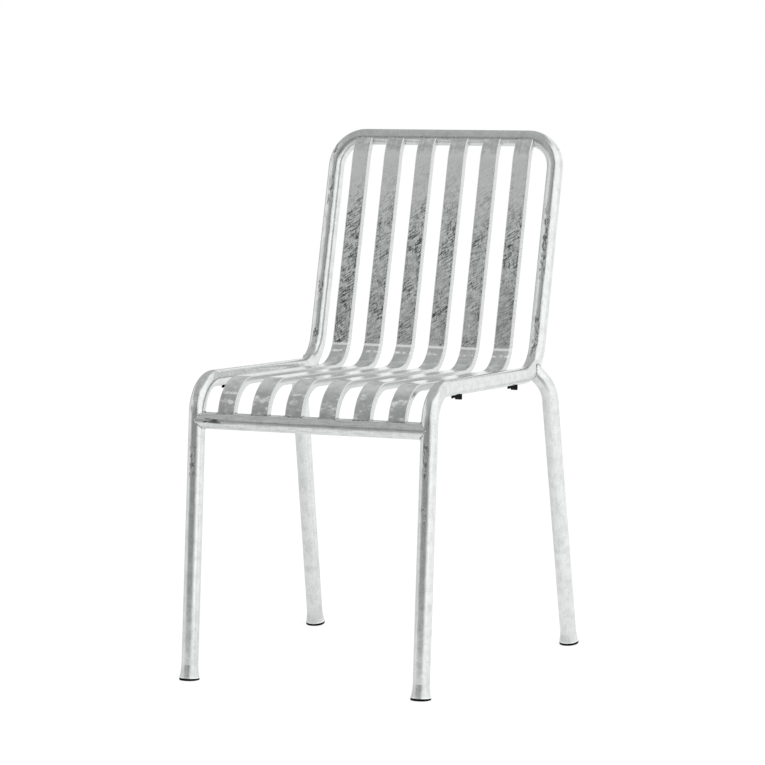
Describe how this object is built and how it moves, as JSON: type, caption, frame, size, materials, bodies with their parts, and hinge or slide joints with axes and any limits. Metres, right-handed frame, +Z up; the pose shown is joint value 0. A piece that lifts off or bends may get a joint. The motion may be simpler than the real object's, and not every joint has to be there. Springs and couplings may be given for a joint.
{
  "type": "bistro chair",
  "caption": "Stackable slatted bistro chair in bent galvanised steel tube, with flat bent slats for seat and back, black foot glides and stacking pads.",
  "frame": {"origin": "on the floor, under the middle of the chair's width and depth", "axes": "+Z up, -Y towards the sitter's front, +X towards the picture's right-hand side (the sitter's left)"},
  "size_m": [0.469, 0.5556, 0.8],
  "materials": {
    "frame_steel": "hot-dip galvanised, mottled spangle",
    "slat_steel": "hot-dip galvanised, fine scratches",
    "glide_plastic": "moulded, matt",
    "pad_rubber": "moulded, matt"
  },
  "bodies": {
    "root": {"front_crossbar": "frame_steel", "glide_front_left": "glide_plastic", "glide_front_right": "glide_plastic", "glide_rear_left": "glide_plastic", "glide_rear_right": "glide_plastic", "main_frame_tube": "frame_steel", "rear_leg_left": "frame_steel", "rear_leg_right": "frame_steel", "seat_support_bar": "frame_steel", "slat_1": "slat_steel", "slat_2": "slat_steel", "slat_3": "slat_steel", "slat_4": "slat_steel", "slat_5": "slat_steel", "slat_6": "slat_steel", "stacking_pad_front_left": "pad_rubber", "stacking_pad_front_right": "pad_rubber", "stacking_pad_rear_left": "pad_rubber", "stacking_pad_rear_right": "pad_rubber"}
  },
  "joints": []
}
